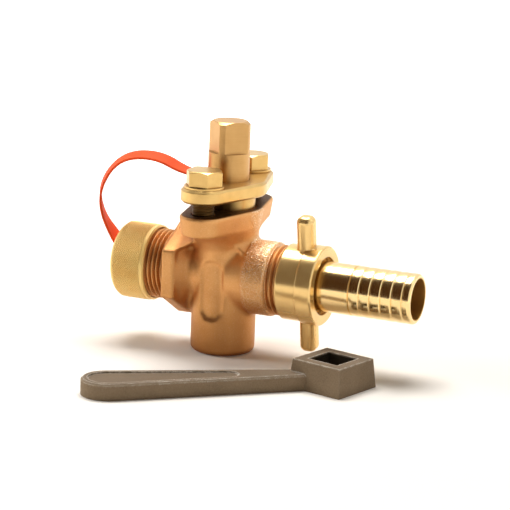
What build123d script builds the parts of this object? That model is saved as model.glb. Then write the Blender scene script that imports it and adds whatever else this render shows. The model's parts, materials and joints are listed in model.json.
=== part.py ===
from build123d import *
from math import cos, pi, radians, sin, sqrt, tan
import os

# Gland cock, size 3/4: a taper plug in a cast body, packed and held down by a two-bolt gland.
# Millimetres. Origin at the middle of the barrel's base, +X along the pipe to the hose tail,
# +Y away from the front bolt, +Z up along the plug.

# Fits and gaps
seat_clearance = 0.05       # plug cone in its seat, on the radius
running_clearance = 0.08    # stem in packing and gland, on the radius
sliding_clearance = 0.05    # gland spigot and packing in the stuffing box, on the radius
running_gap = 0.1           # flat faces that turn past each other
bolt_clearance = 0.3        # bolt shank in gland and washer, on the radius
tapped_clearance = 0.05     # bolt shank in its tapped hole, on the radius
thread_clearance = 0.25     # nut or cap bore over the thread's crests, on the radius
socket_clearance = 0.3      # key socket over the plug's square, across the flats
cut_past = 1.0              # how far a cutter runs past the face it opens
same_place = 0.001          # how near a plane an edge lies to count as in it

# Pipe thread, modelled at its root with the crests left off
thread_dia = 26.44
thread_depth = 1.16
thread_end_chamfer = 0.8

# Cast body
pipe_height = 30.0
barrel_dia = 24.3
base_round = 2.2
barrel_floor = 4.5
body_height = 55.7
waterway_dia = 14.0
casting_edge = 0.6

# Top flange of the body, an oval with a lug at each bolt, flared down into the barrel
bolt_pitch = 42.0
flange_lug_radius = 8.8
flange_waist_radius = 13.6
flange_depth = 7.4
flange_draft = 1.0
flare_depth = 11.0
flare_steps = 5
flare_foot_radius = 9.0
flare_side_sink = 0.15
flare_tip_sink = 0.05
tapped_depth = 6.6

# Sunk panel on the front of the barrel
panel_height = 23.0
panel_width = 9.4
panel_depth = 1.0
panel_middle = 25.0

# Outlet side of the body
outlet_neck_dia = 22.6
outlet_neck_flare_dia = 27.2
boss_dia = 28.0
boss_start = 12.6
boss_end = 21.5
outlet_end = 34.2

# Inlet side of the body, with a hexagon for a spanner
inlet_neck_dia = 22.0
inlet_flare_dia = 30.0
inlet_flare_length = 3.4
hex_flats = 31.0
hex_edge_round = 0.6
hex_near = 13.8
hex_far = 19.4
inlet_end = 38.0
inlet_web_width = 30.2      # webs under the flange, their heights from the pipe's axis
inlet_web_low = 9.2
inlet_web_high = 17.6
outlet_web_end = 14.2
outlet_web_width = 20.0
outlet_web_low = 9.0
outlet_web_high = 13.9
shoulder_root = 5.0
shoulder_root_width = 21.0
shoulder_root_low = 14.0
shoulder_root_high = 19.5

# Taper plug with a square head
plug_seat_dia = 18.6
plug_taper = 0.1
plug_end_gap = 1.5
plug_shoulder_rise = 1.2
stem_dia = 15.5
square_flats = 12.5
square_turn = 3.5           # square's corner from the pipe's line, with the port open
stem_rise = 10.3            # stem above the gland
square_length = 11.7
square_top_chamfer = 1.5
square_top_fall = 0.9
port_width = 7.4
port_height = 13.6

# Stuffing box, packing and gland
stuffing_depth = 12.7
packing_section = 2.6
packing_ring_height = 2.8
packing_rings = 3
packing_edge = 0.5
gland_gap = 4.8
gland_thickness = 5.2
gland_lug_radius = 8.4
gland_waist_radius = 14.6
gland_edge = 0.8

# Gland bolts and their washers
bolt_dia = 7.8
bolt_length = 16.4
bolt_head_flats = 12.2
bolt_head_height = 5.7
bolt_head_chamfer = 0.7
bolt_head_chamfer_run = 1.1
bolt_end_chamfer = 1.0
bolt_washer_dia = 14.6
bolt_washer_thickness = 0.9
front_bolt_turn = 3.7
rear_bolt_turn = -6.3

# Union nut with two lugs
nut_start = 26.0
nut_step = 34.4
nut_end = 40.7
nut_barrel_dia = 28.4
nut_collar_dia = 29.7
nut_mouth_dia = 21.8
nut_shoulder = 2.3
nut_edge = 0.5
lug_middle = 33.9
lug_turn = 10.0
lug_length = 6.6
lug_width = 6.6
lug_tip_radius = 26.8
lug_side_round = 2.6
lug_top_round = 2.4

# Hose tail and its washer
union_washer_thickness = 1.5
union_washer_outer_dia = 24.6
tail_collar_dia = 25.0
tail_collar_thickness = 2.4
tail_dia = 18.7
tail_bore_dia = 15.2
tail_end = 77.1
barb_start = 53.0
barb_pitch = 4.2
barb_count = 5
barb_depth = 0.5
barb_groove = 0.8
barb_crown = 0.12
bead_length = 2.6
bead_round = 1.1

# Blank cap, its washer and the rivet that the strap hangs on
cap_rim = 27.6
cap_length = 14.5
cap_dia = 28.6
cap_wall = 2.6
cap_round = 2.4
cap_rim_chamfer = 0.5
cap_washer_thickness = 1.4
cap_washer_outer_dia = 25.6
cap_washer_hole_dia = 7.0
rivet_dia = 3.0
rivet_hole_clearance = 0.05
rivet_head_dia = 5.6
rivet_head_height = 1.3
rivet_head_round = 1.0
rivet_tail_dia = 5.0
rivet_tail_height = 0.9

# Flexible strap from the gland to the cap, and its screw
strap_width = 8.2
strap_thickness = 1.2
strap_stem_gap = 0.5
strap_flat = 5.1
strap_rise_out = 12.0
strap_rise = 5.9
strap_bow = 10.7
strap_shoulder_rise = 1.5
strap_knee_rise = 16.6
strap_foot_rise = 4.4
strap_eye_clearance = 0.1
strap_bend_shares = [(0.3, 0.1), (0.85, 0.43), (0.54, 0.62), (0.35, 0.45), (0.08, 0.6)]
screw_dia = 2.8
screw_length = 4.0
screw_head_dia = 5.4
screw_head_height = 1.9
screw_head_round = 1.5

# Lever key, lying on the same surface as the cock
key_x = 55.2
key_y = -25.2
key_turn = 37.5             # handle's line from +X
key_head_turn = -6.5        # head's corner from the handle's line
key_head_top = 20.6
key_head_base = 22.6
key_head_height = 10.6
key_handle_reach = 91.0
key_handle_thickness = 6.0
key_handle_width = 18.4
key_handle_root = 6.0
key_panel_inset = 2.4
key_panel_depth = 0.5
key_panel_start = 38.0
key_edge = 0.7

# Worked out from the sizes above
barrel_radius = barrel_dia / 2
stem_radius = stem_dia / 2
half_pitch = bolt_pitch / 2
thread_root_radius = thread_dia / 2 - thread_depth
thread_bore_radius = thread_dia / 2 + thread_clearance
stuffing_radius = stem_radius + running_clearance + packing_section + sliding_clearance
stuffing_floor = body_height - stuffing_depth
plug_end = barrel_floor + plug_end_gap
shoulder_height = stuffing_floor + plug_shoulder_rise
packing_low = shoulder_height + running_gap
packing_high = packing_low + packing_rings * packing_ring_height
gland_low = body_height + gland_gap
gland_high = gland_low + gland_thickness
square_start = gland_high + stem_rise
plug_height = square_start + square_length
bolt_seat = gland_high + bolt_washer_thickness
bolt_hole_radius = bolt_dia / 2 + bolt_clearance
tapped_radius = bolt_dia / 2 + tapped_clearance
union_washer_end = outlet_end + union_washer_thickness
tail_collar_end = union_washer_end + tail_collar_thickness
cap_end = cap_rim + cap_length
cap_floor = cap_end - cap_wall
rivet_hole_radius = rivet_dia / 2 + rivet_hole_clearance
strap_screw_x = -(stem_radius + strap_stem_gap + strap_width / 2)
strap_top_middle = gland_high + strap_thickness / 2
strap_cap_middle = -(cap_end + strap_thickness / 2)


def seat_radius(height):
    """Radius of the conical seat in the body at a height."""
    return plug_seat_dia / 2 - (stuffing_floor - height) * plug_taper / 2


def upright(radius, low, high, x=0.0, y=0.0):
    """A round bar along Z between two heights."""
    return Pos(x, y, low) * Cylinder(radius, high - low, align=(Align.CENTER, Align.CENTER, Align.MIN))


def along_pipe(radius, start, end):
    """A round bar on the pipe's axis between two places along X."""
    bar = Cylinder(radius, end - start, align=(Align.CENTER, Align.CENTER, Align.MIN))
    return Pos(start, 0, pipe_height) * Rot(0, 90, 0) * bar


def turned_on_stem(*profile):
    """A piece turned about Z from (radius, height) corners."""
    return revolve(Plane.XZ * make_face(Polyline(*profile, close=True)), Axis.Z)


def turned_on_pipe(*profile):
    """A piece turned about the pipe's axis from (x, radius) corners."""
    return Pos(0, 0, pipe_height) * revolve(Plane.XZ * make_face(Polyline(*profile, close=True)), Axis.X)


def oval(waist_radius, lug_radius, lug_offset):
    """Flange outline: a middle round and two lug rounds along Y, wrapped by their tangents."""
    rounds = Circle(waist_radius).edges()
    for side in (-1, 1):
        rounds += (Pos(0, side * lug_offset) * Circle(lug_radius)).edges()
    return make_hull(rounds)


def rim_edges(solid, height):
    """Edges of a solid that lie in one level plane."""
    return solid.edges().filter_by_position(Axis.Z, height - same_place, height + same_place)


def ring_edges(solid, x):
    """Edges of a solid that lie in one plane across the pipe."""
    return solid.edges().filter_by_position(Axis.X, x - same_place, x + same_place)


def body_flange():
    """Drafted oval flange whose lugs sweep down into the barrel in a hollow curve."""
    crease = body_height - flange_depth
    foot_offset = barrel_radius - flare_tip_sink - flare_foot_radius
    foot = (barrel_radius - flare_side_sink, flare_foot_radius, foot_offset)
    under = (flange_waist_radius - flange_draft, flange_lug_radius - flange_draft, half_pitch)
    rings = []
    for step in range(flare_steps + 1):
        angle = pi / 2 * step / flare_steps
        outward = 1 - cos(angle)
        height = crease - flare_depth * (1 - sin(angle))
        sizes = [low + (high - low) * outward for low, high in zip(foot, under)]
        rings.append(Pos(0, 0, height) * oval(*sizes))
    rings.append(Pos(0, 0, body_height) * oval(flange_waist_radius, flange_lug_radius, half_pitch))
    return chamfer(rim_edges(loft(rings, ruled=True), body_height), casting_edge)


def shoulder(side, end, width, low, high):
    """Web from one side of the pipe up to the underside of the flange."""
    root = (side * shoulder_root, shoulder_root_width / 2, shoulder_root_low, shoulder_root_high)
    gables = []
    for x, half_width, foot, ridge in ((side * end, width / 2, low, high), root):
        gable = Polyline((-half_width, foot), (half_width, foot), (0, ridge), close=True)
        gables.append(Plane.YZ.offset(x) * make_face(gable))
    return Pos(0, 0, pipe_height) * loft(gables, ruled=True)


def panel_cutter():
    """Sunk panel with straight sides and round ends, its floor following the barrel's round."""
    slot = Plane.XZ * Pos(0, panel_middle) * SlotOverall(panel_height, panel_width, rotation=90)
    prism = extrude(slot, amount=barrel_dia)
    return prism - upright(barrel_radius - panel_depth, 0, body_height)


def cock_body():
    """One casting: closed barrel, flange, inlet with hexagon, outlet with boss, seat and bores."""
    barrel = upright(barrel_radius, 0, body_height - flange_depth)
    barrel = fillet(rim_edges(barrel, 0), base_round)
    boss = along_pipe(boss_dia / 2, boss_start, boss_end)
    boss = fillet(ring_edges(boss, boss_start) + ring_edges(boss, boss_end), casting_edge)
    outlet = along_pipe(thread_root_radius, boss_end - casting_edge, outlet_end)
    outlet = chamfer(ring_edges(outlet, outlet_end), thread_end_chamfer)
    hexagon = RegularPolygon(hex_flats / 2, 6, major_radius=False, rotation=30)
    hexagon = extrude(Plane.YZ.offset(-hex_far) * hexagon, amount=hex_far - hex_near)
    hexagon = Pos(0, 0, pipe_height) * fillet(hexagon.edges(), hex_edge_round)
    inlet = along_pipe(thread_root_radius, -inlet_end, -hex_far + casting_edge)
    inlet = chamfer(ring_edges(inlet, -inlet_end), thread_end_chamfer)
    body = barrel + body_flange()
    body += turned_on_pipe(
        (0, 0),
        (0, outlet_neck_dia / 2),
        (boss_start, outlet_neck_flare_dia / 2),
        (boss_start + casting_edge, outlet_neck_flare_dia / 2),
        (boss_start + casting_edge, 0),
    )
    body += turned_on_pipe(
        (-hex_near - casting_edge, 0),
        (-hex_near - casting_edge, inlet_flare_dia / 2),
        (-hex_near, inlet_flare_dia / 2),
        (-hex_near + inlet_flare_length, inlet_neck_dia / 2),
        (0, inlet_neck_dia / 2),
        (0, 0),
    )
    body = body + boss + outlet + hexagon + inlet
    body += shoulder(-1, hex_near, inlet_web_width, inlet_web_low, inlet_web_high)
    body += shoulder(1, outlet_web_end, outlet_web_width, outlet_web_low, outlet_web_high)
    seat = turned_on_stem(
        (0, barrel_floor),
        (seat_radius(barrel_floor), barrel_floor),
        (seat_radius(stuffing_floor), stuffing_floor),
        (stuffing_radius, stuffing_floor),
        (stuffing_radius, body_height + cut_past),
        (0, body_height + cut_past),
    )
    waterway = along_pipe(waterway_dia / 2, -inlet_end - cut_past, outlet_end + cut_past)
    body = body - seat - waterway - panel_cutter()
    tapped_low = body_height - tapped_depth
    for side in (-1, 1):
        body -= upright(tapped_radius, tapped_low, body_height + cut_past, y=side * half_pitch)
    return body


def taper_plug():
    """Cone with an oval port, round stem, and a square head whose corners keep the stem's round."""
    turned = turned_on_stem(
        (0, plug_end),
        (seat_radius(plug_end) - seat_clearance, plug_end),
        (seat_radius(shoulder_height) - seat_clearance, shoulder_height),
        (stem_radius, shoulder_height),
        (stem_radius, plug_height - square_top_fall),
        (stem_radius - square_top_chamfer, plug_height),
        (0, plug_height),
    )
    head = extrude(Pos(0, 0, square_start) * Rectangle(stem_dia * 2, stem_dia * 2), amount=plug_height)
    head -= extrude(Pos(0, 0, square_start) * Rectangle(square_flats, square_flats), amount=plug_height)
    port = Plane.YZ * Pos(0, pipe_height) * SlotOverall(port_height, port_width, rotation=90)
    port = extrude(port, amount=plug_seat_dia, both=True)
    return turned - Rot(0, 0, 45 + square_turn) * head - port


def packing_ring(index):
    """One turn of packing, square in section with eased edges."""
    low = packing_low + index * packing_ring_height
    high = low + packing_ring_height
    inner = stem_radius + running_clearance
    outer = inner + packing_section
    return turned_on_stem(
        (inner, low),
        (outer - packing_edge, low),
        (outer, low + packing_edge),
        (outer, high - packing_edge),
        (outer - packing_edge, high),
        (inner, high),
    )


def gland():
    """Oval flange with a spigot that presses on the packing."""
    outline = oval(gland_waist_radius, gland_lug_radius, half_pitch)
    flange = extrude(Pos(0, 0, gland_low) * outline, amount=gland_thickness)
    flange = chamfer(rim_edges(flange, gland_high) + rim_edges(flange, gland_low), gland_edge)
    piece = flange + upright(stuffing_radius - sliding_clearance, packing_high, gland_low)
    piece -= upright(stem_radius + running_clearance, packing_high - cut_past, gland_high + cut_past)
    for side in (-1, 1):
        piece -= upright(bolt_hole_radius, gland_low - cut_past, gland_high + cut_past, y=side * half_pitch)
    piece -= upright(screw_dia / 2, gland_high - screw_length, gland_high + cut_past, x=strap_screw_x)
    return piece


def gland_bolt(y, turn):
    """Hexagon-head bolt with a turned chamfer on its head."""
    head_high = bolt_seat + bolt_head_height
    corner = bolt_head_flats / sqrt(3)
    prism = RegularPolygon(bolt_head_flats / 2, 6, major_radius=False, rotation=turn)
    prism = extrude(Pos(0, y, bolt_seat) * prism, amount=bolt_head_height)
    blank = upright(corner, bolt_seat, head_high, y=y)
    blank = chamfer(rim_edges(blank, head_high), bolt_head_chamfer, bolt_head_chamfer_run)
    shank = upright(bolt_dia / 2, bolt_seat - bolt_length, bolt_seat, y=y)
    shank = chamfer(rim_edges(shank, bolt_seat - bolt_length), bolt_end_chamfer)
    return (prism & blank) + shank


def bolt_washer(y):
    """Plain washer under a bolt head."""
    ring = upright(bolt_washer_dia / 2, gland_high, bolt_seat, y=y)
    return ring - upright(bolt_hole_radius, gland_high - cut_past, bolt_seat + cut_past, y=y)


def nut_lug():
    """Lug that stands out from the nut, with rounded sides and top."""
    outline = Pos(lug_middle, 0) * RectangleRounded(lug_length, lug_width, lug_side_round)
    lug = extrude(outline, amount=lug_tip_radius)
    return fillet(rim_edges(lug, lug_tip_radius), lug_top_round)


def union_nut():
    """Barrel and collar with a lug above and below, bored for the thread and the tail's collar."""
    nut = turned_on_pipe(
        (nut_start, 0),
        (nut_start, nut_barrel_dia / 2 - nut_edge),
        (nut_start + nut_edge, nut_barrel_dia / 2),
        (nut_step, nut_barrel_dia / 2),
        (nut_step, nut_collar_dia / 2),
        (nut_end - nut_edge, nut_collar_dia / 2),
        (nut_end, nut_collar_dia / 2 - nut_edge),
        (nut_end, 0),
    )
    for turn in (lug_turn, lug_turn + 180):
        nut += Pos(0, 0, pipe_height) * Rot(turn, 0, 0) * nut_lug()
    nut -= along_pipe(thread_bore_radius, nut_start - cut_past, nut_end - nut_shoulder)
    return nut - along_pipe(nut_mouth_dia / 2, nut_start, nut_end + cut_past)


def hose_tail():
    """Collar, smooth length, a row of rounded barbs with a groove before each, and an end bead."""
    radius = tail_dia / 2
    groove = radius - barb_depth
    bead_start = tail_end - bead_length
    barbs_end = barb_start + barb_count * barb_pitch
    outline = Polyline(
        (barb_start, groove),
        (barb_start, radius),
        (tail_collar_end, radius),
        (tail_collar_end, tail_collar_dia / 2),
        (union_washer_end, tail_collar_dia / 2),
        (union_washer_end, tail_bore_dia / 2),
        (tail_end, tail_bore_dia / 2),
        (tail_end, radius),
        (bead_start, radius),
        (bead_start, groove),
        (barbs_end, groove),
    )
    for barb in range(barb_count):
        start = barb_start + barb * barb_pitch
        end = start + barb_pitch
        low = (start + barb_groove / 2, radius - barb_crown)
        crest = (start + barb_pitch / 2, radius)
        high = (end - barb_groove / 2, radius - barb_crown)
        outline += Line((start, groove), low)
        outline += ThreePointArc(low, crest, high)
        outline += Line(high, (end, groove))
    tail = Pos(0, 0, pipe_height) * revolve(Plane.XZ * make_face(outline), Axis.X)
    bead = ring_edges(tail, tail_end).sort_by(SortBy.RADIUS)[-1]
    return fillet(bead, bead_round)


def union_washer():
    """Flat ring between the body's end and the tail's collar."""
    ring = along_pipe(union_washer_outer_dia / 2, outlet_end, union_washer_end)
    return ring - along_pipe(tail_bore_dia / 2, outlet_end - cut_past, union_washer_end + cut_past)


def blank_cap():
    """Deep cap with a rounded closed end and a hole for the rivet."""
    cap = along_pipe(cap_dia / 2, -cap_end, -cap_rim)
    cap = fillet(ring_edges(cap, -cap_end), cap_round)
    cap = chamfer(ring_edges(cap, -cap_rim), cap_rim_chamfer)
    cap -= along_pipe(thread_bore_radius, -cap_floor, -cap_rim + cut_past)
    return cap - along_pipe(rivet_hole_radius, -cap_end - cut_past, -cap_floor + cut_past)


def cap_washer():
    """Flat ring against the cap's floor, open in the middle for the rivet's tail."""
    face = -cap_floor + cap_washer_thickness
    ring = along_pipe(cap_washer_outer_dia / 2, -cap_floor, face)
    return ring - along_pipe(cap_washer_hole_dia / 2, -cap_floor - cut_past, face + cut_past)


def cap_rivet():
    """Rivet through the strap's eye and the cap's floor, free to turn there."""
    head_seat = -cap_end - strap_thickness
    head = along_pipe(rivet_head_dia / 2, head_seat - rivet_head_height, head_seat)
    head = fillet(ring_edges(head, head_seat - rivet_head_height), rivet_head_round)
    tail_seat = -cap_floor + running_gap
    tail = along_pipe(rivet_tail_dia / 2, tail_seat, tail_seat + rivet_tail_height)
    return head + along_pipe(rivet_dia / 2, head_seat, tail_seat) + tail


def strap_radii(points, shares):
    """Bend radius at each inner corner, from the share of its two runs that the bend may take."""
    radii = []
    for before, corner, after, (back, ahead) in zip(points, points[1:], points[2:], shares):
        run_in = Vector(*corner) - Vector(*before)
        run_out = Vector(*after) - Vector(*corner)
        tangent = min(back * run_in.length, ahead * run_out.length)
        radii.append(tangent / tan(radians(run_in.get_angle(run_out) / 2)))
    return radii


def cap_strap():
    """Flat strap lying on the gland, bowed over to the cap's end, with an eye at each end."""
    shoulder_x = strap_cap_middle - strap_bow
    route = [
        (strap_screw_x, strap_top_middle),
        (strap_screw_x - strap_flat, strap_top_middle),
        (strap_screw_x - strap_flat - strap_rise_out, strap_top_middle + strap_rise),
        (shoulder_x, strap_top_middle + strap_shoulder_rise),
        (shoulder_x, pipe_height + strap_knee_rise),
        (strap_cap_middle, pipe_height + strap_foot_rise),
        (strap_cap_middle, pipe_height),
    ]
    route = [(x, 0, z) for x, z in route]
    path = FilletPolyline(*route, radius=strap_radii(route, strap_bend_shares))
    section = Plane(origin=route[0], x_dir=(0, 1, 0), z_dir=(-1, 0, 0))
    strap = sweep(section * Rectangle(strap_width, strap_thickness), path=path)
    strap += upright(strap_width / 2, gland_high, gland_high + strap_thickness, x=strap_screw_x)
    strap += along_pipe(strap_width / 2, -cap_end - strap_thickness, -cap_end)
    screw_eye = screw_dia / 2 + strap_eye_clearance
    strap_top = gland_high + strap_thickness
    strap -= upright(screw_eye, gland_high - cut_past, strap_top + cut_past, x=strap_screw_x)
    rivet_eye = rivet_dia / 2 + strap_eye_clearance
    return strap - along_pipe(rivet_eye, -cap_end - strap_thickness - cut_past, -cap_end + cut_past)


def strap_screw():
    """Round-head screw that holds the strap's upper eye on the gland."""
    seat = gland_high + strap_thickness
    head = upright(screw_head_dia / 2, seat, seat + screw_head_height, x=strap_screw_x)
    head = fillet(rim_edges(head, seat + screw_head_height), screw_head_round)
    return head + upright(screw_dia / 2, gland_high - screw_length, seat, x=strap_screw_x)


def lever_key():
    """Cast key: square head set cornerwise on a flat handle, with a sunk panel in the handle."""
    turn = Rot(0, 0, 45 + key_head_turn)
    head = loft([
        turn * Rectangle(key_head_base, key_head_base),
        Pos(0, 0, key_head_height) * turn * Rectangle(key_head_top, key_head_top),
    ], ruled=True)
    end_radius = key_handle_width / 2
    end_middle = key_handle_reach - end_radius
    outline = make_hull(
        (Pos(-end_middle, 0) * Circle(end_radius)).edges() + Circle(key_handle_root / 2).edges()
    )
    handle = extrude(outline, amount=key_handle_thickness)
    handle = chamfer(rim_edges(handle, key_handle_thickness), key_edge)
    key = head + handle
    panel_floor = key_handle_thickness - key_panel_depth
    spread = (key_handle_width - key_handle_root) / 2 / end_middle
    panel_near_radius = key_handle_root / 2 + key_panel_start * spread - key_panel_inset
    panel = make_hull(
        (Pos(-end_middle, 0) * Circle(end_radius - key_panel_inset)).edges()
        + (Pos(-key_panel_start, 0) * Circle(panel_near_radius)).edges()
    )
    key -= extrude(Pos(0, 0, panel_floor) * panel, amount=key_head_height)
    socket = square_flats + socket_clearance
    key -= extrude(turn * Rectangle(socket, socket), amount=key_head_height * 2, both=True)
    return Pos(key_x, key_y, 0) * Rot(0, 0, key_turn) * key


pieces = {
    "cock_body": cock_body(),
    "taper_plug": taper_plug(),
    "gland": gland(),
    "front_gland_bolt": gland_bolt(-half_pitch, front_bolt_turn),
    "rear_gland_bolt": gland_bolt(half_pitch, rear_bolt_turn),
    "front_bolt_washer": bolt_washer(-half_pitch),
    "rear_bolt_washer": bolt_washer(half_pitch),
    "union_nut": union_nut(),
    "hose_tail": hose_tail(),
    "union_washer": union_washer(),
    "blank_cap": blank_cap(),
    "cap_washer": cap_washer(),
    "cap_rivet": cap_rivet(),
    "cap_strap": cap_strap(),
    "strap_screw": strap_screw(),
    "lever_key": lever_key(),
}
for ring in range(packing_rings):
    pieces[f"packing_ring_{ring + 1}"] = packing_ring(ring)

os.makedirs("parts", exist_ok=True)
for name, piece in pieces.items():
    export_step(piece, f"parts/{name}.step")
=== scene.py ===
import json
from math import atan2, ceil, cos, pi, radians, sin

import bmesh
import bpy
from mathutils import Matrix, Vector

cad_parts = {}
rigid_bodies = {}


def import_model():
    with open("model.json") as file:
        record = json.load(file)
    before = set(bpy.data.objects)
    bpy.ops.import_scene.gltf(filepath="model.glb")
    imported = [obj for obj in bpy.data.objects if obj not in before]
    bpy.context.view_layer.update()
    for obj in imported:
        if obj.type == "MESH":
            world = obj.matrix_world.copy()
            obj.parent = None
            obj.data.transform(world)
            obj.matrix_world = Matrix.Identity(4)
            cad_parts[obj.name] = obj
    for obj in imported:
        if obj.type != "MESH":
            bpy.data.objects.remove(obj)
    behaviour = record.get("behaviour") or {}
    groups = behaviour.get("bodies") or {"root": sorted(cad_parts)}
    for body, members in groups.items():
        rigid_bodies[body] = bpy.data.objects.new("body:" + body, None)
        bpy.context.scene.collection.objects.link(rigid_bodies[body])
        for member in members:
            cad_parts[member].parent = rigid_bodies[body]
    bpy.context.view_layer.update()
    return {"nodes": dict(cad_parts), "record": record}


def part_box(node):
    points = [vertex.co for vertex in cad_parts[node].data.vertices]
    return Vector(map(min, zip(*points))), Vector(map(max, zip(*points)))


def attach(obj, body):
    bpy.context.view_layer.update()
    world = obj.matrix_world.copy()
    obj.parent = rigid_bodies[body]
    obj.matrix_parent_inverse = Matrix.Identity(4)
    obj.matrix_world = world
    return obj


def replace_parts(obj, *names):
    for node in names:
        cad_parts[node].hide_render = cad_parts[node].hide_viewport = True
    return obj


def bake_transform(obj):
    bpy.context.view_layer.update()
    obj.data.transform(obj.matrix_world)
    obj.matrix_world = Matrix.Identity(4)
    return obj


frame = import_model()
nodes = frame["nodes"]
mounts = {mount["name"]: mount for mount in frame["record"]["mounts"]}
openings = {opening["name"]: opening for opening in frame["record"]["physics"]["openings"]}

MM = 0.001
PIPE_HEIGHT = mounts["tail_bore"]["pos_m"][2]

# Threads: the crests that the solids leave off
PIPE_PITCH = 1.814 * MM
PIPE_CREST = 13.22 * MM
PIPE_ROOT = 12.0 * MM
BOLT_PITCH = 1.25 * MM
BOLT_CREST = 4.1 * MM
BOLT_ROOT = 3.8 * MM
HEXAGON_FACE = -19.4 * MM
BOSS_START = 12.6 * MM
BOSS_FACE = 21.5 * MM
THREAD_RUN_IN = 0.6 * MM
RIDGE_BASE = 0.94
RIDGE_TIP = 0.16
RIDGE_STEPS = 48

# Knurl on the cap, and the casting's skin
KNURL_DEPTH = 0.3 * MM
KNURL_INSET = 1.6 * MM
KNURL_PITCH = 0.95 * MM
CASTING_VOXEL = 0.48 * MM
CASTING_FILLET = 1.0 * MM
MERGE_DISTANCE = 0.005 * MM
SMOOTH_ANGLE = radians(32)

# Places where the finishes change
TAIL_BORE = mounts["tail_bore"]["dims"]["r_mm"] * MM
GLAND_THICKNESS = 5.2 * MM
GLAND_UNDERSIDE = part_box("gland")[1].z - GLAND_THICKNESS
GREASE_AND_SHADE_EDGE = (9 * MM, 5 * MM)
FLANGE_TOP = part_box("cock_body")[1].z
BARREL_SHADE = (26 * MM, 4 * MM)
HOLLOW_REACH = 4 * MM
INLET_SHADE = (-14.0 * MM, -9.5 * MM)
SOCKET_LOW, SOCKET_HIGH = (Vector(corner) for corner in openings["key_socket"]["box_m"])
SOCKET_MIDDLE = (SOCKET_LOW + SOCKET_HIGH) / 2
SOCKET_REACH = 9.3 * MM
KEY_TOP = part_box("lever_key")[1].z

# Strap: centre line and roll about it, from the screw on the gland to the rivet on the cap
STRAP_WIDTH = 8.2 * MM
STRAP_THICKNESS = 0.9 * MM
STRAP_EDGE = 0.2 * MM
STRAP_STEPS = 14
EYE_CORNERS = 64
SCREW_EYE = 1.5 * MM
RIVET_EYE = 1.6 * MM
STRAP_ROUTE = [
    (-12.35, 66.3, 0),
    (-17.4, 66.3, 0),
    (-29.5, 71.6, -8),
    (-44.5, 69.6, -16),
    (-53.4, 58.5, -30),
    (-53.4, 47.5, -24),
    (-45.2, 36.4, 2),
    (-42.7, 34.2, 0),
    (-42.7, 30.0, 0),
]

# Camera, from the photograph's viewing angle
CAMERA_AZIMUTH = radians(23.664)
CAMERA_ELEVATION = radians(13.0)
CAMERA_ROLL = radians(2.288)
CAMERA_TARGET = Vector((12.038, 0.0, 38.078)) * MM
CAMERA_DISTANCE = 820.03 * MM
CAMERA_LENS = 155.29
SENSOR_WIDTH = 36

# Table, which glows to white from a near to a far distance, and room light
TABLE_SIZE = (6, 6)
TABLE_COLOR = (0.95, 0.9, 0.83)
GLOW_NEAR = 0.1
GLOW_FAR = 0.7
GLOW_RANGE = (0.02, 1.05)
ROOM_LIGHT = 0.17
ROOM_TINT = (1, 0.92, 0.82, 1)
WHITE = (1, 1, 1, 1)

# Lamps: name, size, place, watts, and whether the metal mirrors it
LAMPS = [
    ("top_softbox", (0.6, 0.45), (-0.15, 0.25, 0.95), 11.0, True),
    ("right_softbox", (0.4, 0.4), (0.75, 0.4, 0.7), 0.4, True),
    ("left_softbox", (0.4, 0.5), (-0.95, -0.25, 0.5), 5.0, False),
]

# Dark card on the camera's side: part of a drum round the pipe's line, from low to high
FLAG_COLOR = (0.09, 0.045, 0.02)
FLAG_FACETS = 120
FLAG_RADIUS = 1.3
FLAG_LENGTH = 3.0
FLAG_MIDDLE = -0.7
FLAG_LOW = radians(-1)
FLAG_HIGH = radians(84)


class Wire:
    """A socket in a material's nodes. Sums on wires add Math nodes."""

    def __init__(self, tree, socket=None):
        self.tree = tree
        self.socket = socket

    def node(self, kind, settings=None, inputs=None, output=0):
        """Adds any node: its settings first, then the values or wires of its sockets."""
        made = self.tree.nodes.new("ShaderNode" + kind)
        for name, value in (settings or {}).items():
            if name == "stops":
                lay_stops(made.color_ramp, value)
            else:
                setattr(made, name, value)
        for name, value in (inputs or {}).items():
            if isinstance(value, Wire):
                self.tree.links.new(value.socket, made.inputs[name])
            else:
                made.inputs[name].default_value = value
        return Wire(self.tree, made.outputs[output])

    def math(self, operation, first, second=0.0):
        return self.node("Math", {"operation": operation}, {0: first, 1: second})

    def __add__(self, other):
        return self.math("ADD", self, other)

    def __sub__(self, other):
        return self.math("SUBTRACT", self, other)

    def __rsub__(self, other):
        return self.math("SUBTRACT", other, self)

    def __mul__(self, other):
        return self.math("MULTIPLY", self, other)

    def __pow__(self, other):
        return self.math("POWER", self, other)

    def __abs__(self):
        return self.math("ABSOLUTE", self)

    __radd__ = __add__
    __rmul__ = __mul__


def lay_stops(ramp, stops):
    """Sets a ramp's two stops, each a place and a grey value."""
    for element, (place, value) in zip(ramp.elements, stops):
        element.position = place
        element.color = (value, value, value, 1)


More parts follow.
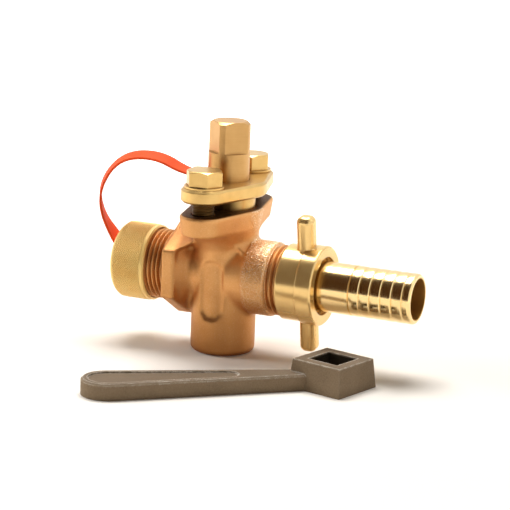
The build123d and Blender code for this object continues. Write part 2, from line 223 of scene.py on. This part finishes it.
class Finish:
    """A material on Object coordinates, with the patterns that its pieces share."""

    def __init__(self, name, metallic=1.0, gloss=0.5):
        self.material = bpy.data.materials.new(name)
        self.material.use_nodes = True
        self.tree = self.material.node_tree
        self.shader = self.tree.nodes["Principled BSDF"]
        self.add = Wire(self.tree)
        self.place = self.add.node("TexCoord", output="Object")
        self.shader.inputs["Metallic"].default_value = metallic
        self.shader.inputs["Specular IOR Level"].default_value = gloss

    def axis(self, letter):
        """One coordinate of the surface point, in metres."""
        return self.add.node("SeparateXYZ", inputs={0: self.place}, output=letter)

    def noise(self, size, detail=3.0, roughness=0.55, stretch=(1, 1, 1)):
        """Noise from 0 to 1 with blotches of about the given size."""
        spread = self.add.node("Mapping", inputs={"Vector": self.place, "Scale": stretch})
        settings = {"Scale": 1 / size, "Detail": detail, "Roughness": roughness}
        return self.add.node("TexNoise", inputs={"Vector": spread, **settings})

    def ramp(self, value, low, high):
        """A value passed through a ramp between two stops."""
        return self.add.node("ValToRGB", {"stops": (low, high)}, {0: value})

    def band(self, letter, low, high, blur):
        """1 between two places along an axis, falling to 0 over the blur."""
        middle, half = (low + high) / 2, (high - low) / 2
        away = abs(self.axis(letter) - middle)
        return self.rise(away, half + blur, half)

    def reach(self):
        """Distance of the surface point from the pipe's axis."""
        return ((self.axis("Z") - PIPE_HEIGHT) ** 2.0 + self.axis("Y") ** 2.0) ** 0.5

    def rise(self, value, low, high):
        """0 up to a low value and 1 from a high one, or the other way round."""
        return self.add.node("MapRange", {"clamp": True}, {"Value": value, "From Min": low, "From Max": high})

    def hollows(self, distance):
        """1 in tight corners, 0 on open faces, from ambient occlusion; the finishes use it to paint shade."""
        open_share = self.add.node("AmbientOcclusion", {"samples": 8}, {"Distance": distance}, output="AO")
        return self.rise(open_share, 0.85, 0.25)

    def blend(self, factor, first, second):
        """The first colour where the factor is 0, the second where it is 1."""
        sockets = {0: factor, 6: (*first, 1) if isinstance(first, tuple) else first}
        sockets[7] = (*second, 1) if isinstance(second, tuple) else second
        return self.add.node("Mix", {"data_type": "RGBA"}, sockets, output=2)

    def upward(self, normal):
        """How far a normal points up, from -1 to 1."""
        return self.add.node("SeparateXYZ", inputs={0: normal}, output="Z")

    def soft_edges(self, radius):
        """The surface's normal with its edges eased by a radius."""
        return self.add.node("Bevel", {"samples": 6}, {"Radius": radius})

    def worn_edges(self, radius):
        """1 on edges and corners, 0 on the flats between them."""
        flat = self.add.node("NewGeometry", output="Normal")
        eased = self.soft_edges(radius)
        match = self.add.node("VectorMath", {"operation": "DOT_PRODUCT"}, {0: flat, 1: eased}, output="Value")
        return self.rise(match, 0.995, 0.85)

    def wear(self, color, roughness, height, depth, edge):
        """Feeds the shader: colour, roughness, and a bump of the given depth, over eased edges if any."""
        self.tree.links.new(color.socket, self.shader.inputs["Base Color"])
        if isinstance(roughness, Wire):
            self.tree.links.new(roughness.socket, self.shader.inputs["Roughness"])
        else:
            self.shader.inputs["Roughness"].default_value = roughness
        sockets = {"Height": height, "Distance": depth, "Strength": 1.0}
        if edge:
            sockets["Normal"] = self.soft_edges(edge)
        bump = self.add.node("Bump", inputs=sockets)
        self.tree.links.new(bump.socket, self.shader.inputs["Normal"])
        return self.material


def cast_bronze():
    """Shot-blasted bronze casting, coarser on the outlet boss, with painted glints on the boss's top, painted
    brown shade in its corners and darker towards the bottom, and grease with painted shade on the flange's
    top.
    """
    finish = Finish("cast_bronze")
    deep, pale, painted_glint = (0.6, 0.27, 0.085), (0.88, 0.5, 0.2), (1.0, 0.86, 0.64)
    shaded, painted_shade, grease_and_shade = (0.36, 0.14, 0.035), (0.3, 0.1, 0.02), (0.07, 0.028, 0.006)
    grain = finish.noise(0.45 * MM, detail=4.0, roughness=0.65)
    coarse = finish.noise(0.9 * MM, detail=3.0, roughness=0.6)
    cloud = finish.noise(9 * MM, detail=4.0)
    boss = finish.band("X", BOSS_START, BOSS_FACE + 0.5 * MM, 0.6 * MM)
    tone = finish.blend(cloud * 0.55 + grain * 0.45, deep, pale)
    glint = finish.ramp(grain + boss * 0.08, (0.55, 0.0), (0.7, 1.0))
    # Painted highlight: grains on the boss are painted pale, most where the surface faces up. Elsewhere the
    # glint only lowers the roughness.
    facing = finish.add.node("NewGeometry", output="Normal")
    upward = finish.rise(finish.upward(facing), 0.1, 0.7)
    tone = finish.blend(glint * (0.15 + boss * (0.2 + upward * 0.65)), tone, painted_glint)
    # Painted shade: darker towards the bottom of the barrel.
    tone = finish.blend(finish.rise(finish.axis("Z"), *BARREL_SHADE) * 0.55, tone, shaded)
    # Painted shade: darker in corners by ambient occlusion, and in the band beside the inlet hexagon.
    corner = finish.band("X", *INLET_SHADE, 1.5 * MM)
    tone = finish.blend(finish.hollows(HOLLOW_REACH) * 0.6 + corner * 0.3, tone, painted_shade)
    # Grease on the flange's top, also painted shade where the gland sits over it.
    grease_and_shade_mask = finish.rise(finish.axis("Z"), FLANGE_TOP - 0.35 * MM, FLANGE_TOP - 0.05 * MM)
    tone = finish.blend(grease_and_shade_mask * 0.9, tone, grease_and_shade)
    rough = 0.58 - cloud * 0.12 - glint * boss * 0.25
    return finish.wear(tone, rough, grain * 0.35 + coarse * boss * 1.6, 0.22 * MM, 0.4 * MM)


def turned_bronze():
    """Machined bronze of the plug, with fine tool marks round the stem."""
    finish = Finish("turned_bronze")
    deep, pale = (0.46, 0.25, 0.08), (0.66, 0.4, 0.16)
    marks = finish.noise(0.22 * MM, detail=2.0, stretch=(0.02, 0.02, 1))
    cloud = finish.noise(6 * MM)
    tone = finish.blend(cloud * 0.6 + marks * 0.4, deep, pale)
    return finish.wear(tone, 0.3 + marks * 0.16, marks, 0.02 * MM, 0.25 * MM)


def bright_brass():
    """Linished yellow brass of the gland and its bolts, with painted shade in its corners, and greasy below
    the gland on the cap's side, where the dark also paints the gap's shade.
    """
    finish = Finish("bright_brass")
    deep, pale = (0.58, 0.36, 0.115), (0.8, 0.54, 0.21)
    painted_shade, grease_and_shade = (0.3, 0.12, 0.02), (0.05, 0.02, 0.004)
    scratch = finish.noise(0.5 * MM, detail=4.0, stretch=(1, 0.15, 1))
    cloud = finish.noise(5 * MM)
    tone = finish.blend(cloud, deep, pale)
    # Painted shade: darker in corners by ambient occlusion.
    tone = finish.blend(finish.hollows(HOLLOW_REACH) * 0.6, tone, painted_shade)
    # Grease below the gland on the cap's side, also painted shade in the gap under the gland.
    grease_and_shade_mask = finish.rise(finish.axis("Z"), GLAND_UNDERSIDE, GLAND_UNDERSIDE - 0.4 * MM)
    grease_and_shade_mask = grease_and_shade_mask * finish.rise(finish.axis("X"), *GREASE_AND_SHADE_EDGE)
    tone = finish.blend(grease_and_shade_mask * 0.92, tone, grease_and_shade)
    return finish.wear(tone, 0.24 + scratch * 0.14 + grease_and_shade_mask * 0.2, scratch, 0.03 * MM, 0.35 * MM)


def polished_brass():
    """Turned and polished brass of the tail, with faint lathe lines, dull inside its bore."""
    finish = Finish("polished_brass")
    deep, pale, dull = (0.92, 0.62, 0.26), (1.0, 0.8, 0.42), (0.5, 0.24, 0.03)
    lines = finish.noise(0.3 * MM, detail=3.0, stretch=(1, 0.02, 0.02))
    cloud = finish.noise(8 * MM)
    bore = finish.rise(finish.reach(), TAIL_BORE + 0.4 * MM, TAIL_BORE + 0.2 * MM)
    tone = finish.blend(cloud * 0.5 + lines * 0.5, deep, pale)
    tone = finish.blend(bore * 0.85, tone, dull)
    return finish.wear(tone, 0.12 + lines * 0.14 + bore * 0.3, lines, 0.012 * MM, 0.25 * MM)


def satin_brass():
    """Union nut: turned brass dulled by handling, with blotches."""
    finish = Finish("satin_brass", metallic=0.72)
    deep, pale, painted_shade = (0.9, 0.56, 0.2), (1.0, 0.74, 0.32), (0.35, 0.15, 0.03)
    lines = finish.noise(0.4 * MM, detail=3.0, stretch=(1, 0.05, 0.05))
    cloud = finish.noise(4 * MM, detail=5.0, roughness=0.65)
    tone = finish.blend(cloud * 0.7 + lines * 0.3, deep, pale)
    # Painted shade: darker in the nut's corners by ambient occlusion.
    tone = finish.blend(finish.hollows(HOLLOW_REACH) * 0.6, tone, painted_shade)
    return finish.wear(tone, 0.17 + cloud * 0.1, lines, 0.004 * MM, 0.7 * MM)


def knurled_brass():
    """Matt brass of the blank cap, with painted shade that makes it darker between the points of its knurl.
    """
    finish = Finish("knurled_brass", metallic=0.3)
    deep, pale, painted_shade = (1.0, 0.63, 0.19), (1.0, 0.76, 0.29), (0.5, 0.26, 0.06)
    cloud = finish.noise(4 * MM)
    grain = finish.noise(0.4 * MM, detail=4.0)
    low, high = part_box("blank_cap")
    radius = (high.z - low.z) / 2
    tone = finish.blend(cloud, deep, pale)
    # Painted shade between the knurl's points.
    valley = finish.rise(finish.reach(), radius + KNURL_DEPTH * 0.7, radius)
    side = finish.band("X", low.x + KNURL_INSET, high.x - KNURL_INSET, 0.1 * MM)
    tone = finish.blend(valley * side * 0.28, tone, painted_shade)
    return finish.wear(tone, 0.36 + grain * 0.1, grain, 0.03 * MM, 0.1 * MM)


def strap_plastic():
    """Flexible red-orange plastic with a matt skin, paler in patches."""
    finish = Finish("strap_plastic", metallic=0.0, gloss=0.12)
    deep, pale = (0.8, 0.065, 0.01), (0.9, 0.11, 0.022)
    cloud = finish.noise(7 * MM)
    grain = finish.noise(0.35 * MM, detail=4.0)
    tone = finish.blend(cloud, deep, pale)
    return finish.wear(tone, 0.5 + grain * 0.14, grain, 0.02 * MM, None)


def cast_iron():
    """Grey iron of the key: sand-cast grain, brown bloom, painted shade on its upward flats, rubbed top edges
    that also carry a painted highlight, and painted shade in the socket.
    """
    finish = Finish("cast_iron", metallic=0.15, gloss=0.05)
    deep, pale, gritty = (0.19, 0.135, 0.08), (0.31, 0.225, 0.145), (0.4, 0.3, 0.2)
    flat, worn_and_highlight, painted_socket_shade = (0.11, 0.082, 0.06), (0.9, 0.82, 0.7), (0.012, 0.009, 0.005)
    grain = finish.noise(0.5 * MM, detail=5.0, roughness=0.7)
    cloud = finish.noise(8 * MM, detail=4.0)
    patches = finish.rise(finish.noise(2.5 * MM, detail=5.0, roughness=0.7), 0.42, 0.6)
    edge = 1.1 * MM
    upward = finish.upward(finish.soft_edges(edge))
    # Rubbed top edges: wear, and also a painted highlight on edges that face up.
    worn_edge_highlight = finish.worn_edges(edge) * finish.rise(upward, 0.1, 0.4) * (0.3 + patches * 0.7)
    tone = finish.blend(cloud, deep, pale)
    tone = finish.blend(finish.ramp(grain, (0.35, 0.0), (0.75, 0.6)), tone, gritty)
    # Painted shade: flats that face up are darker.
    tone = finish.blend(finish.rise(upward, 0.6, 0.95) * 0.5, tone, flat)
    tone = finish.blend(worn_edge_highlight * (0.65 + grain * 0.5), tone, worn_and_highlight)
    # Painted shade: near black deep inside the socket.
    offset = [finish.axis(letter) - SOCKET_MIDDLE[index] for index, letter in enumerate("XY")]
    inside = finish.rise((offset[0] ** 2.0 + offset[1] ** 2.0) ** 0.5, SOCKET_REACH + 0.3 * MM, SOCKET_REACH)
    inside = inside * finish.rise(finish.axis("Z"), KEY_TOP - 0.1 * MM, KEY_TOP - 0.8 * MM)
    tone = finish.blend(inside * 0.9, tone, painted_socket_shade)
    return finish.wear(tone, 0.6 - worn_edge_highlight * 0.15, grain, 0.25 * MM, 0.5 * MM)


def fibre():
    """Dark red vulcanised fibre of the two flat washers."""
    finish = Finish("fibre", metallic=0.0)
    deep, pale = (0.1, 0.025, 0.015), (0.2, 0.05, 0.03)
    grain = finish.noise(0.3 * MM, detail=4.0)
    return finish.wear(finish.blend(grain, deep, pale), 0.75, grain, 0.03 * MM, None)


def greased_packing():
    """Braided packing, dark with grease."""
    finish = Finish("greased_packing", metallic=0.0)
    deep, pale = (0.02, 0.02, 0.02), (0.09, 0.085, 0.08)
    strand = finish.noise(0.8 * MM, detail=3.0)
    return finish.wear(finish.blend(strand, deep, pale), 0.6, strand, 0.2 * MM, None)


def deselect():
    """Back to object mode with nothing selected."""
    if bpy.context.mode != "OBJECT":
        bpy.ops.object.mode_set(mode="OBJECT")
    bpy.ops.object.select_all(action="DESELECT")


def pick(piece, kind, wanted):
    """In edit mode, selects the piece's vertices, edges or faces that are wanted."""
    bpy.ops.object.mode_set(mode="EDIT")
    bpy.ops.mesh.select_mode(type=kind)
    bpy.ops.mesh.select_all(action="DESELECT")
    mesh = bmesh.from_edit_mesh(piece.data)
    for element in {"VERT": mesh.verts, "EDGE": mesh.edges, "FACE": mesh.faces}[kind]:
        element.select_set(bool(wanted(element)))
    mesh.select_flush_mode()
    bmesh.update_edit_mesh(piece.data)


def apply_modifier(piece, kind, **settings):
    """Adds a modifier to the active piece and applies it."""
    modifier = piece.modifiers.new("shape", kind)
    for name, value in settings.items():
        setattr(modifier, name, value)
    bpy.ops.object.modifier_apply(modifier=modifier.name)


def settle(piece, name, material):
    """Names a finished piece, applies its place, and gives it its finish."""
    deselect()
    piece.select_set(True)
    bpy.context.view_layer.objects.active = piece
    bpy.ops.object.transform_apply(location=True, rotation=True, scale=True)
    bpy.ops.object.shade_smooth_by_angle(angle=SMOOTH_ANGLE)
    piece.name = piece.data.name = name
    piece.data.materials.clear()
    piece.data.materials.append(material)
    return piece


def wound_ridge(length, root, crest, pitch):
    """A screw thread's ridge wound along X from the origin, cut square at both ends."""
    deselect()
    bpy.ops.mesh.primitive_plane_add(size=1, rotation=(pi / 2, 0, 0))
    ridge = bpy.context.object
    ridge.scale = (pitch * RIDGE_BASE, crest - root, 1)
    ridge.location = (-pitch, 0, (root + crest) / 2)
    bpy.ops.object.transform_apply(location=True, rotation=True, scale=True)
    pick(ridge, "VERT", lambda corner: corner.co.z > (root + crest) / 2)
    bpy.ops.transform.resize(value=(RIDGE_TIP, 1, 1))
    pick(ridge, "FACE", lambda face: True)
    bpy.ops.mesh.delete(type="ONLY_FACE")
    bpy.ops.object.mode_set(mode="OBJECT")
    turns = ceil(length / pitch) + 2
    wind = {"axis": "X", "angle": 2 * pi, "screw_offset": pitch, "iterations": turns}
    apply_modifier(ridge, "SCREW", steps=RIDGE_STEPS, render_steps=RIDGE_STEPS, **wind)
    for place, keep in ((0, "clear_inner"), (length, "clear_outer")):
        pick(ridge, "FACE", lambda face: True)
        bpy.ops.mesh.bisect(plane_co=(place, 0, 0), plane_no=(1, 0, 0), use_fill=True, **{keep: True})
    bpy.ops.mesh.select_all(action="SELECT")
    bpy.ops.mesh.normals_make_consistent(inside=False)
    bpy.ops.object.mode_set(mode="OBJECT")
    return ridge


def pipe_thread(name, start, end, material):
    """Ridge of one of the body's male pipe threads."""
    ridge = wound_ridge(end - start, PIPE_ROOT, PIPE_CREST, PIPE_PITCH)
    ridge.location = (start, 0, PIPE_HEIGHT)
    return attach(settle(ridge, name, material), "cock")


def bolt_thread(node, material):
    """Ridge of the thread on a gland bolt, from its tip up to the gland."""
    low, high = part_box(node)
    middle = (low + high) / 2
    tip = low.z + THREAD_RUN_IN
    ridge = wound_ridge(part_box("gland")[1].z - tip, BOLT_ROOT, BOLT_CREST, BOLT_PITCH)
    ridge.rotation_euler = (0, -pi / 2, 0)
    ridge.location = (middle.x, middle.y, tip)
    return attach(settle(ridge, node + "_thread", material), "cock")


def cap_knurl(material):
    """Diamond knurl round the cap's side: a fine ring grid with every other corner pushed out."""
    low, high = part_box("blank_cap")
    radius = (high.z - low.z) / 2
    start, end = low.x + KNURL_INSET, high.x - KNURL_INSET
    corners = 2 * round(2 * pi * radius / KNURL_PITCH)
    rows = 2 * round((end - start) / KNURL_PITCH)
    deselect()
    bpy.ops.mesh.primitive_cylinder_add(
        radius=radius, depth=end - start, vertices=corners, end_fill_type="NOTHING", rotation=(0, pi / 2, 0)
    )
    knurl = bpy.context.object
    bpy.ops.object.transform_apply(location=True, rotation=True, scale=True)
    pick(knurl, "EDGE", lambda edge: abs(edge.verts[0].co.x - edge.verts[1].co.x) > MM)
    bpy.ops.mesh.subdivide(number_cuts=rows - 1)

    def point(corner):
        turn = round(atan2(corner.co.z, corner.co.y) * corners / (2 * pi) + 0.25)
        row = round((corner.co.x / (end - start) + 0.5) * rows)
        return 0 < row < rows and (turn + row) % 2

    pick(knurl, "VERT", point)
    scale = 1 + KNURL_DEPTH / radius
    bpy.ops.transform.resize(value=(1, scale, scale), center_override=(0, 0, 0))
    pick(knurl, "FACE", lambda face: True)
    bpy.ops.mesh.quads_convert_to_tris(quad_method="SHORTEST_DIAGONAL")
    bpy.ops.object.mode_set(mode="OBJECT")
    knurl.location = ((start + end) / 2, 0, PIPE_HEIGHT)
    piece = settle(knurl, "cap_knurl", material)
    for face in piece.data.polygons:
        face.use_smooth = False
    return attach(piece, "cap")


def cast_skin(material):
    """The casting's skin: the body's solid with its inner corners filled, as the sand leaves them."""
    deselect()
    source = nodes["cock_body"]
    skin = bpy.data.objects.new("body_skin", source.data.copy())
    bpy.context.collection.objects.link(skin)
    skin.matrix_world = source.matrix_world
    skin.select_set(True)
    bpy.context.view_layer.objects.active = skin
    pick(skin, "VERT", lambda corner: True)
    bpy.ops.mesh.remove_doubles(threshold=MERGE_DISTANCE)
    bpy.ops.object.mode_set(mode="OBJECT")
    for move in (CASTING_FILLET, -CASTING_FILLET):
        apply_modifier(skin, "REMESH", mode="VOXEL", voxel_size=CASTING_VOXEL)
        apply_modifier(skin, "DISPLACE", strength=move, mid_level=0)
    apply_modifier(skin, "REMESH", mode="VOXEL", voxel_size=CASTING_VOXEL)
    apply_modifier(skin, "SMOOTH", factor=0.5, iterations=2)
    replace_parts(settle(skin, "body_skin", material), "cock_body")
    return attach(skin, "cock")


def smooth_route(points):
    """Points read from a smooth open spline over its control points."""
    curve = bpy.data.curves.new("route", "CURVE")
    curve.dimensions = "3D"
    spline = curve.splines.new("NURBS")
    spline.points.add(len(points) - 1)
    for point, place in zip(spline.points, points):
        point.co = (*place, 1)
    spline.order_u = 3
    spline.use_endpoint_u = True
    spline.resolution_u = STRAP_STEPS
    holder = bpy.data.objects.new("route", curve)
    mesh = bpy.data.meshes.new_from_object(holder)
    places = [vertex.co.copy() for vertex in mesh.vertices]
    for block, store in ((holder, bpy.data.objects), (curve, bpy.data.curves), (mesh, bpy.data.meshes)):
        store.remove(block)
    return places


def strap_band():
    """The strap's length: a flat section with eased edges, rolled as it goes along its route."""
    centre = smooth_route([(x * MM, 0, z * MM) for x, z, roll in STRAP_ROUTE])
    rolls = smooth_route([(radians(roll), 0, 0) for x, z, roll in STRAP_ROUTE])
    half, rise, edge = STRAP_WIDTH / 2, STRAP_THICKNESS / 2, STRAP_EDGE
    section = [(half - edge, rise), (half, rise - edge), (half, edge - rise), (half - edge, -rise)]
    section += [(-across, -up) for across, up in section]
    mesh = bmesh.new()
    rings = []
    for index, place in enumerate(centre):
        ahead = centre[min(index + 1, len(centre) - 1)] - centre[max(index - 1, 0)]
        turn = Matrix.Rotation(rolls[index].x, 3, ahead.normalized())
        across = turn @ Vector((0, 1, 0))
        up = across.cross(ahead.normalized())
        rings.append([mesh.verts.new(place + across * a + up * u) for a, u in section])
    for ring, following in zip(rings, rings[1:]):
        for corner in range(len(section)):
            after = (corner + 1) % len(section)
            mesh.faces.new((ring[corner], ring[after], following[after], following[corner]))
    mesh.faces.new(rings[0])
    mesh.faces.new(list(reversed(rings[-1])))
    bmesh.ops.recalc_face_normals(mesh, faces=mesh.faces)
    data = bpy.data.meshes.new("strap")
    mesh.to_mesh(data)
    mesh.free()
    band = bpy.data.objects.new("strap", data)
    bpy.context.collection.objects.link(band)
    return band


def strap_eye(place, rotation, hole):
    """A round eye at one end of the strap, with an eased rim round its hole."""
    deselect()
    bpy.ops.mesh.primitive_circle_add(radius=STRAP_WIDTH / 2, vertices=EYE_CORNERS, fill_type="NGON")
    eye = bpy.context.object
    pick(eye, "FACE", lambda face: True)
    bpy.ops.mesh.inset(thickness=STRAP_WIDTH / 2 - hole)
    bpy.ops.mesh.delete(type="FACE")
    bpy.ops.object.mode_set(mode="OBJECT")
    apply_modifier(eye, "SOLIDIFY", thickness=STRAP_THICKNESS, offset=0)
    apply_modifier(eye, "BEVEL", width=STRAP_EDGE, segments=2, limit_method="ANGLE", angle_limit=radians(60))
    eye.location = place
    eye.rotation_euler = rotation
    bpy.ops.object.transform_apply(location=True, rotation=True, scale=True)
    return eye


def cap_strap(material):
    """The strap between the gland and the cap, twisted a little as it hangs."""
    start = Vector((STRAP_ROUTE[0][0], 0, STRAP_ROUTE[0][1])) * MM
    end = Vector((STRAP_ROUTE[-1][0], 0, STRAP_ROUTE[-1][1])) * MM
    eyes = [strap_eye(start, (0, 0, 0), SCREW_EYE), strap_eye(end, (0, pi / 2, 0), RIVET_EYE)]
    band = strap_band()
    deselect()
    for piece in (band, *eyes):
        piece.select_set(True)
    bpy.context.view_layer.objects.active = band
    bpy.ops.object.join()
    strap = settle(band, "strap_band", material)
    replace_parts(strap, "cap_strap")
    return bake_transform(strap)


def stage_card(name, size, place, aim, material):
    """A flat card of the studio, facing a point."""
    deselect()
    bpy.ops.mesh.primitive_plane_add(size=1)
    card = bpy.context.object
    card.name = name
    card.scale = (*size, 1)
    card.location = place
    card.rotation_euler = (Vector(aim) - Vector(place)).to_track_quat("Z", "Y").to_euler()
    bpy.ops.object.transform_apply(location=True, rotation=True, scale=True)
    card.data.materials.append(material)
    return card


def plain(name, color):
    """A plain studio surface."""
    material = bpy.data.materials.new(name)
    material.use_nodes = True
    shader = material.node_tree.nodes["Principled BSDF"]
    shader.inputs["Base Color"].default_value = (*color, 1)
    shader.inputs["Roughness"].default_value = 0.9
    shader.inputs["Specular IOR Level"].default_value = 0.0
    return material


def seen_rays(add):
    """1 where the camera, a mirror or glass sees the surface, 0 where it only lights others."""
    sight = [add.node("LightPath", output=f"Is {kind} Ray") for kind in ("Camera", "Glossy", "Transmission")]
    return add.math("MINIMUM", sight[0] + sight[1] + sight[2], 1.0)


def white_table():
    """Pale table that keeps the shadow near the object and fades to white away from it."""
    material = plain("white_table", TABLE_COLOR)
    tree = material.node_tree
    add = Wire(tree)
    place = add.node("TexCoord", output="Object")
    away = add.node("VectorMath", {"operation": "LENGTH"}, {0: place}, output="Value")
    low, high = GLOW_RANGE
    sockets = {"Value": away, "From Min": GLOW_NEAR, "From Max": GLOW_FAR, "To Min": low, "To Max": high}
    glow = add.node("MapRange", {"interpolation_type": "SMOOTHSTEP"}, sockets)
    shader = tree.nodes["Principled BSDF"]
    shader.inputs["Emission Strength"].default_value = 1.0
    tree.links.new((glow * seen_rays(add)).socket, shader.inputs["Emission Color"])
    return material


def softbox(name, size, place, watts, mirrored):
    """A large area lamp facing the cock, which the metal mirrors or not."""
    lamp = bpy.data.lights.new(name, "AREA")
    lamp.shape = "RECTANGLE"
    lamp.size, lamp.size_y = size
    lamp.energy = watts
    holder = bpy.data.objects.new(name, lamp)
    holder.visible_glossy = mirrored
    holder.location = place
    holder.rotation_euler = (Vector(place) - CAMERA_TARGET).to_track_quat("Z", "Y").to_euler()
    bpy.context.collection.objects.link(holder)


def dark_flag(material):
    """A curved dark card over the camera's side, which only the metal mirrors."""
    deselect()
    bpy.ops.mesh.primitive_cylinder_add(
        radius=FLAG_RADIUS,
        depth=FLAG_LENGTH,
        vertices=FLAG_FACETS,
        end_fill_type="NOTHING",
        location=(FLAG_MIDDLE, 0, 0),
        rotation=(0, pi / 2, 0),
    )
    flag = bpy.context.object
    flag.name = "dark_flag"
    bpy.ops.object.transform_apply(location=True, rotation=True, scale=True)

    def outside(face):
        middle = face.calc_center_median()
        return not FLAG_LOW < atan2(middle.z, -middle.y) < FLAG_HIGH

    pick(flag, "FACE", outside)
    bpy.ops.mesh.delete(type="FACE")
    bpy.ops.object.mode_set(mode="OBJECT")
    flag.data.materials.append(material)
    flag.visible_camera = flag.visible_diffuse = flag.visible_shadow = False


def studio():
    """Pale table, a dark card on the camera's side, the lamps, and a dim room that is seen as white."""
    stage_card("floor", TABLE_SIZE, (0, 0, 0), (0, 0, 1), white_table())
    dark_flag(plain("dark_room", FLAG_COLOR))
    for lamp in LAMPS:
        softbox(*lamp)
    world = bpy.data.worlds.new("studio")
    world.use_nodes = True
    bpy.context.scene.world = world
    tree = world.node_tree
    add = Wire(tree)
    seen = seen_rays(add)
    background = tree.nodes["Background"]
    tint = add.node("Mix", {"data_type": "RGBA"}, {0: seen, 6: ROOM_TINT, 7: WHITE}, output=2)
    tree.links.new(tint.socket, background.inputs["Color"])
    tree.links.new((ROOM_LIGHT + seen * (1 - ROOM_LIGHT)).socket, background.inputs["Strength"])


def camera():
    """Camera at the photograph's angle, leaning a little as the photograph does."""
    azimuth, elevation = CAMERA_AZIMUTH, CAMERA_ELEVATION
    back = Vector((sin(azimuth) * cos(elevation), -cos(azimuth) * cos(elevation), sin(elevation)))
    level = Vector((cos(azimuth), sin(azimuth), 0))
    upward = back.cross(level)
    right = level * cos(CAMERA_ROLL) + upward * sin(CAMERA_ROLL)
    above = upward * cos(CAMERA_ROLL) - level * sin(CAMERA_ROLL)
    data = bpy.data.cameras.new("camera")
    data.lens = CAMERA_LENS
    data.sensor_width = SENSOR_WIDTH
    holder = bpy.data.objects.new("camera", data)
    turn = Matrix((right, above, back)).transposed().to_4x4()
    holder.matrix_world = Matrix.Translation(CAMERA_TARGET + back * CAMERA_DISTANCE) @ turn
    bpy.context.collection.objects.link(holder)
    bpy.context.scene.camera = holder


def dress():
    """Gives every solid its finish and adds the pieces that only the eye needs."""
    body, plug, brass, polish = cast_bronze(), turned_bronze(), bright_brass(), polished_brass()
    knurled, iron, washer, packing = knurled_brass(), cast_iron(), fibre(), greased_packing()
    finishes = {
        "cock_body": body,
        "taper_plug": plug,
        "blank_cap": knurled,
        "union_nut": satin_brass(),
        "lever_key": iron,
        "union_washer": washer,
        "cap_washer": washer,
    }
    for name in ("gland", "front_gland_bolt", "rear_gland_bolt", "front_bolt_washer", "rear_bolt_washer"):
        finishes[name] = brass
    for name in ("hose_tail", "cap_rivet", "strap_screw"):
        finishes[name] = polish
    for ring in (1, 2, 3):
        finishes[f"packing_ring_{ring}"] = packing
    for name, material in finishes.items():
        for place in nodes[name].material_slots:
            place.material = material
    low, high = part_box("cock_body")
    pipe_thread("outlet_thread", BOSS_FACE, high.x - THREAD_RUN_IN, body)
    pipe_thread("inlet_thread", low.x + THREAD_RUN_IN, HEXAGON_FACE, body)
    for name in ("front_gland_bolt", "rear_gland_bolt"):
        bolt_thread(name, brass)
    cap_strap(strap_plastic())
    cap_knurl(knurled)
    cast_skin(body)


dress()
studio()
camera()
bpy.context.scene.view_settings.view_transform = "Standard"
